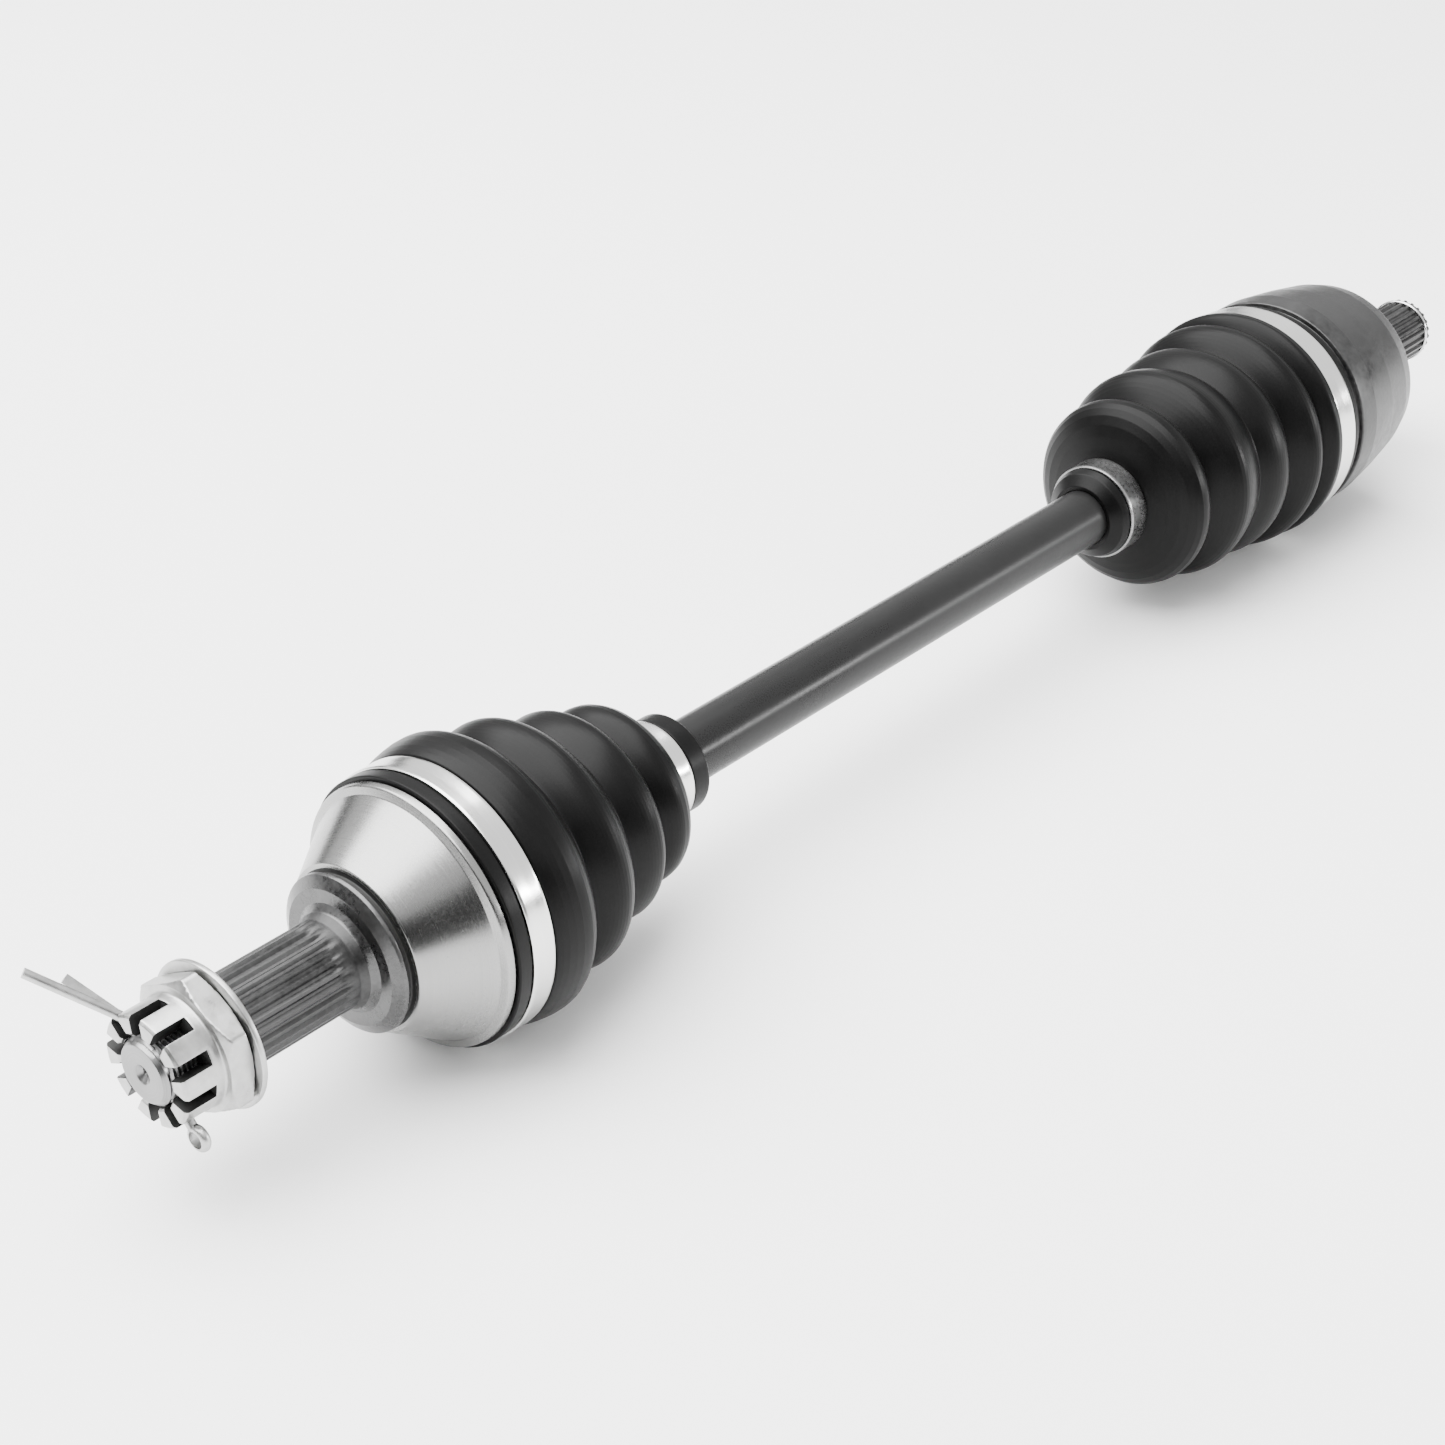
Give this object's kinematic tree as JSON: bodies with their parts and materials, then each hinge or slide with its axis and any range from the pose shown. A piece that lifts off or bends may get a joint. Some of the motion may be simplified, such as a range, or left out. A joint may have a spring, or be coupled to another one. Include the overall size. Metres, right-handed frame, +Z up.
{
  "type": "cv axle",
  "caption": "Half-shaft that drives a wheel from a gearbox, with a fixed ball joint, a plunging ball joint, rubber boots, splined stubs and a castle nut.",
  "frame": {"origin": "on the axle's line, halfway along its overall length", "axes": "+X along the axle from the wheel end to the gearbox end, +Z up, +Y across"},
  "size_m": [0.6813, 0.0902, 0.0902],
  "materials": {
    "machined_steel": "satin",
    "satin_steel": "satin",
    "black_shaft": "satin",
    "boot_rubber": "satin",
    "clamp_steel": "polished",
    "zinc_steel": "satin",
    "bearing_steel": "polished"
  },
  "bodies": {
    "shaft": {"shaft_bar": "black_shaft", "outboard_inner_race": "bearing_steel", "outboard_race_circlip": "bearing_steel", "outboard_small_clamp": "clamp_steel", "inboard_inner_race": "bearing_steel", "inboard_race_circlip": "bearing_steel", "inboard_small_clamp": "clamp_steel"},
    "outboard_ball_a": {"outboard_ball_1": "bearing_steel"},
    "outboard_cage": {"outboard_cage": "bearing_steel", "outboard_ball_2": "bearing_steel", "outboard_ball_3": "bearing_steel", "outboard_ball_5": "bearing_steel", "outboard_ball_6": "bearing_steel"},
    "outboard_ball_b": {"outboard_ball_4": "bearing_steel"},
    "wheel_end": {"outboard_bell": "machined_steel", "outboard_boot": "boot_rubber", "outboard_large_clamp": "clamp_steel", "hub_washer": "zinc_steel", "castle_nut": "zinc_steel", "cotter_pin": "zinc_steel"},
    "inboard_ball_a": {"inboard_ball_1": "bearing_steel"},
    "inboard_cage": {"inboard_cage": "bearing_steel", "inboard_ball_2": "bearing_steel", "inboard_ball_3": "bearing_steel", "inboard_ball_5": "bearing_steel", "inboard_ball_6": "bearing_steel"},
    "inboard_ball_b": {"inboard_ball_4": "bearing_steel"},
    "inboard_boot": {"inboard_boot": "boot_rubber"},
    "gearbox_end": {"inboard_cup": "satin_steel", "inboard_large_clamp": "clamp_steel", "stop_ring": "bearing_steel", "stub_circlip": "bearing_steel"}
  },
  "joints": [
    {"name": "outboard_swing_inner", "type": "hinge", "parent": "shaft", "child": "outboard_ball_a", "pos_m": [-0.222, 0, 0], "axis": [0, 0, 1], "range_deg": [-16, 16]},
    {"name": "outboard_tilt_inner", "type": "hinge", "parent": "outboard_ball_a", "child": "outboard_cage", "pos_m": [-0.222, 0, 0], "axis": [0, 1, 0], "range_deg": [-16, 16]},
    {"name": "outboard_tilt_outer", "type": "hinge", "parent": "outboard_cage", "child": "outboard_ball_b", "pos_m": [-0.222, 0, 0], "axis": [0, 1, 0], "range_deg": [-16, 16]},
    {"name": "outboard_swing_outer", "type": "hinge", "parent": "outboard_ball_b", "child": "wheel_end", "pos_m": [-0.222, 0, 0], "axis": [0, 0, 1], "range_deg": [-16, 16], "deforming": ["outboard_boot"]},
    {"name": "inboard_swing_inner", "type": "hinge", "parent": "shaft", "child": "inboard_ball_a", "pos_m": [0.247, 0, 0], "axis": [0, 0, 1], "range_deg": [-8, 8]},
    {"name": "inboard_tilt_inner", "type": "hinge", "parent": "inboard_ball_a", "child": "inboard_cage", "pos_m": [0.247, 0, 0], "axis": [0, 1, 0], "range_deg": [-8, 8]},
    {"name": "inboard_tilt_outer", "type": "hinge", "parent": "inboard_cage", "child": "inboard_ball_b", "pos_m": [0.247, 0, 0], "axis": [0, 1, 0], "range_deg": [-8, 8]},
    {"name": "inboard_swing_outer", "type": "hinge", "parent": "inboard_ball_b", "child": "inboard_boot", "pos_m": [0.247, 0, 0], "axis": [0, 0, 1], "range_deg": [-8, 8], "deforming": ["inboard_boot"]},
    {"name": "inboard_plunge", "type": "slide", "parent": "inboard_boot", "child": "gearbox_end", "axis": [1, 0, 0], "range_m": [-0.01, 0.01]}
  ],
  "couplings": [
    {"joint": "outboard_swing_inner", "follows": "outboard_swing_outer", "ratio": 1},
    {"joint": "outboard_tilt_inner", "follows": "outboard_tilt_outer", "ratio": 1},
    {"joint": "inboard_swing_inner", "follows": "inboard_swing_outer", "ratio": 1},
    {"joint": "inboard_tilt_inner", "follows": "inboard_tilt_outer", "ratio": 1}
  ]
}
